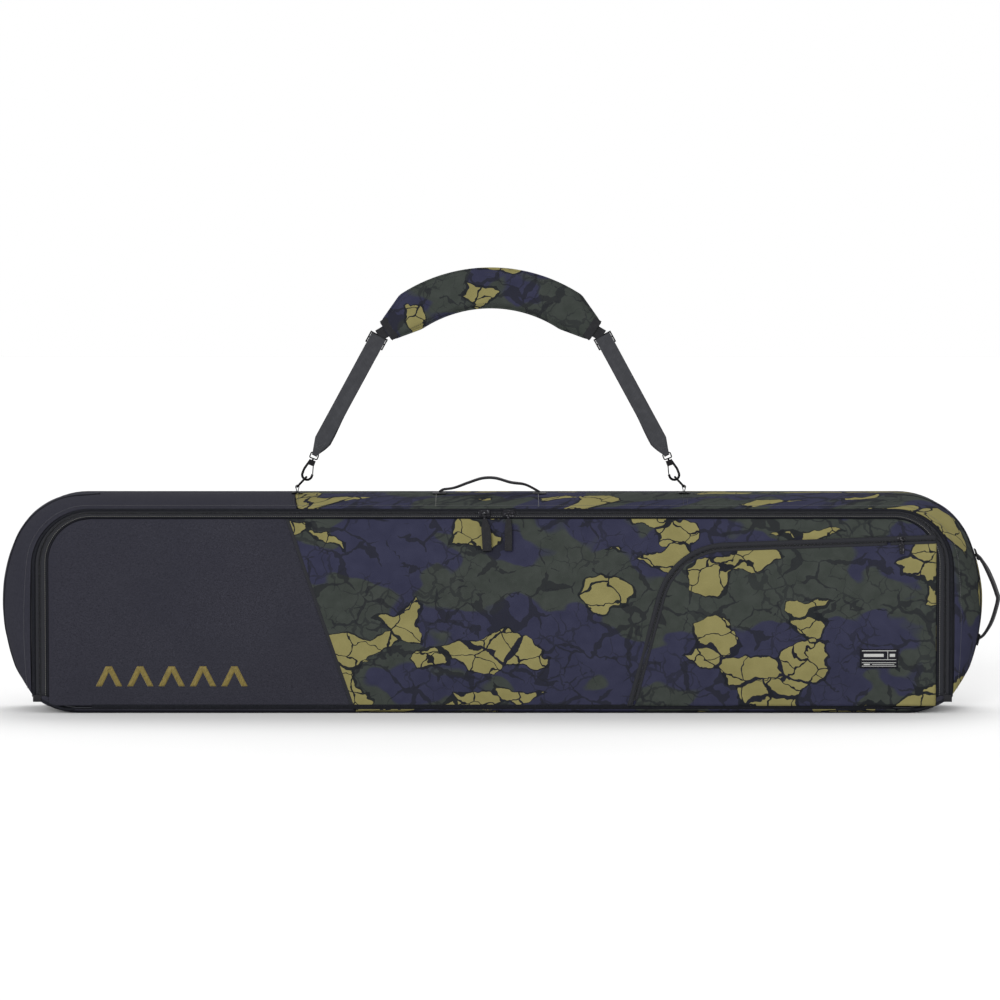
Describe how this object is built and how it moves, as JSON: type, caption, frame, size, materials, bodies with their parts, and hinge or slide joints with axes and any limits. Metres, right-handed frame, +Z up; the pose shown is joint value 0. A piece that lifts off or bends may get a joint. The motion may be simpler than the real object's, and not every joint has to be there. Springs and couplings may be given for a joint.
{
  "type": "snowboard bag",
  "caption": "Padded snowboard bag on its long edge: zipped front lid with an outer pocket, shoulder strap on snap hooks, grab handle and end handle.",
  "frame": {"origin": "on the ground, under the middle of the bag's length and about the middle of its depth, on the flat face of the bottom", "axes": "+X from the nose end (black) to the tail end, -Y out of the zipped lid, +Z up"},
  "size_m": [1.638, 0.1572, 0.7225],
  "materials": {
    "shell_black": "heathered woven polyester",
    "shell_print": "printed ripstop in green, navy and khaki",
    "padding": "closed-cell foam",
    "lining": "coated lining",
    "webbing": "woven polyester webbing",
    "zip_tape": "fine tape",
    "zip_coil": "nylon coil",
    "hardware": "dark plated metal",
    "label": "woven label",
    "badge_thread": "satin stitch",
    "buckle_plastic": "moulded acetal"
  },
  "bodies": {
    "bag": {"nose_fabric": "shell_black", "top_fabric": "shell_print", "tail_fabric": "shell_print", "bottom_fabric": "shell_black", "back_fabric": "shell_black", "nose_foam": "padding", "top_foam": "padding", "tail_foam": "padding", "bottom_foam": "padding", "back_foam": "padding", "body_lining": "lining", "back_welt": "zip_tape", "opening_binding": "zip_tape", "gusset_zip_tape": "zip_tape", "gusset_zip_coil": "zip_coil", "zip_end_tabs": "zip_tape", "hinge_welt": "zip_tape", "haul_handle_patches": "webbing", "end_handle_patches": "webbing", "strap_tab_feet": "webbing"},
    "lid": {"lid_nose_fabric": "shell_black", "lid_print_fabric": "shell_print", "lid_seam_tape": "zip_tape", "lid_foam": "padding", "lid_lining": "lining", "lid_zip_tape": "zip_tape", "lid_zip_coil": "zip_coil", "lid_piping": "zip_tape", "pocket_panel": "shell_print", "pocket_lid_tape": "zip_tape", "woven_label": "label", "badge": "badge_thread"},
    "pocket_mouth": {"pocket_mouth": "shell_print", "pocket_mouth_tape": "zip_tape"},
    "zip_slider_left": {"zip_slider_left": "hardware"},
    "zip_slider_right": {"zip_slider_right": "hardware"},
    "zip_pull_left": {"zip_pull_eye_left": "hardware", "zip_pull_left": "webbing"},
    "zip_pull_right": {"zip_pull_eye_right": "hardware", "zip_pull_right": "webbing"},
    "pocket_slider": {"pocket_slider": "hardware"},
    "pocket_pull": {"pocket_pull": "hardware"},
    "strap": {"pad_front": "shell_print", "pad_foam": "padding", "pad_back": "lining", "pad_end_tabs": "webbing", "strap_webbing_left": "webbing", "strap_webbing_right": "webbing", "hook_swivel_left": "hardware", "hook_swivel_right": "hardware", "strap_rings": "hardware", "strap_tab_loops": "webbing"},
    "buckle_left": {"strap_buckle_left": "buckle_plastic"},
    "buckle_right": {"strap_buckle_right": "buckle_plastic"},
    "hook_left": {"hook_body_left": "hardware"},
    "hook_right": {"hook_body_right": "hardware"},
    "gate_left": {"hook_gate_left": "hardware"},
    "gate_right": {"hook_gate_right": "hardware"},
    "haul_handle": {"haul_handle": "webbing"},
    "end_handle": {"end_handle": "webbing"}
  },
  "joints": [
    {"name": "lid_hinge", "type": "hinge", "parent": "bag", "child": "lid", "pos_m": [0, -0.0675, 0.009], "axis": [1, 0, 0], "range_deg": [0, 88]},
    {"name": "pocket_mouth_fold", "type": "hinge", "parent": "lid", "child": "pocket_mouth", "pos_m": [0.229, -0.0754, 0.012], "axis": [0.8497, 0, 0.5273], "range_deg": [0, 120]},
    {"name": "pocket_zip", "type": "slide", "parent": "lid", "child": "pocket_slider", "axis": [-0.9993, 0, -0.0365], "range_m": [0, 0.27]},
    {"name": "pocket_pull_swing", "type": "hinge", "parent": "pocket_slider", "child": "pocket_pull", "pos_m": [0.664, -0.0803, 0.284], "axis": [-1, 0, 0], "range_deg": [0, 150]},
    {"name": "main_zip_left", "type": "slide", "parent": "lid", "child": "zip_slider_left", "axis": [1, 0, 0], "range_m": [-0.6, 0]},
    {"name": "main_zip_right", "type": "slide", "parent": "lid", "child": "zip_slider_right", "axis": [1, 0, 0], "range_m": [0, 0.6]},
    {"name": "pull_left_swing", "type": "hinge", "parent": "zip_slider_left", "child": "zip_pull_left", "pos_m": [-0.013, -0.0787, 0.3255], "axis": [-1, 0, 0], "range_deg": [0, 150]},
    {"name": "pull_right_swing", "type": "hinge", "parent": "zip_slider_right", "child": "zip_pull_right", "pos_m": [0.026, -0.0787, 0.3255], "axis": [-1, 0, 0], "range_deg": [0, 150]},
    {"name": "strap_swing", "type": "hinge", "parent": "bag", "child": "strap", "pos_m": [-0.003, 0, 0.3655], "axis": [1, 0, 0], "range_deg": [-90, 90]},
    {"name": "haul_handle_swing", "type": "hinge", "parent": "bag", "child": "haul_handle", "pos_m": [-0.005, 0, 0.3602], "axis": [1, 0, 0], "range_deg": [-45, 45]},
    {"name": "end_handle_swing", "type": "hinge", "parent": "bag", "child": "end_handle", "pos_m": [0.805, 0.004, 0.184], "axis": [0, 0, 1], "range_deg": [-55, 55]},
    {"name": "buckle_left_slide", "type": "slide", "parent": "strap", "child": "buckle_left", "axis": [-0.4778, 0, -0.8785], "range_m": [0, 0.12]},
    {"name": "hook_left_swivel", "type": "hinge", "parent": "strap", "child": "hook_left", "pos_m": [-0.2915, 0, 0.418], "axis": [-0.3523, 0, -0.9359], "range_deg": [-40, 40]},
    {"name": "gate_left_swing", "type": "hinge", "parent": "hook_left", "child": "gate_left", "pos_m": [-0.29365, 0, 0.4015], "axis": [0, 1, 0], "range_deg": [0, 22], "stiffness_Nm_per_rad": 0.02},
    {"name": "buckle_right_slide", "type": "slide", "parent": "strap", "child": "buckle_right", "axis": [0.4778, 0, -0.8785], "range_m": [0, 0.12]},
    {"name": "hook_right_swivel", "type": "hinge", "parent": "strap", "child": "hook_right", "pos_m": [0.2855, 0, 0.418], "axis": [0.3523, 0, -0.9359], "range_deg": [-40, 40]},
    {"name": "gate_right_swing", "type": "hinge", "parent": "hook_right", "child": "gate_right", "pos_m": [0.28765, 0, 0.4015], "axis": [0, -1, 0], "range_deg": [0, 22], "stiffness_Nm_per_rad": 0.02}
  ]
}
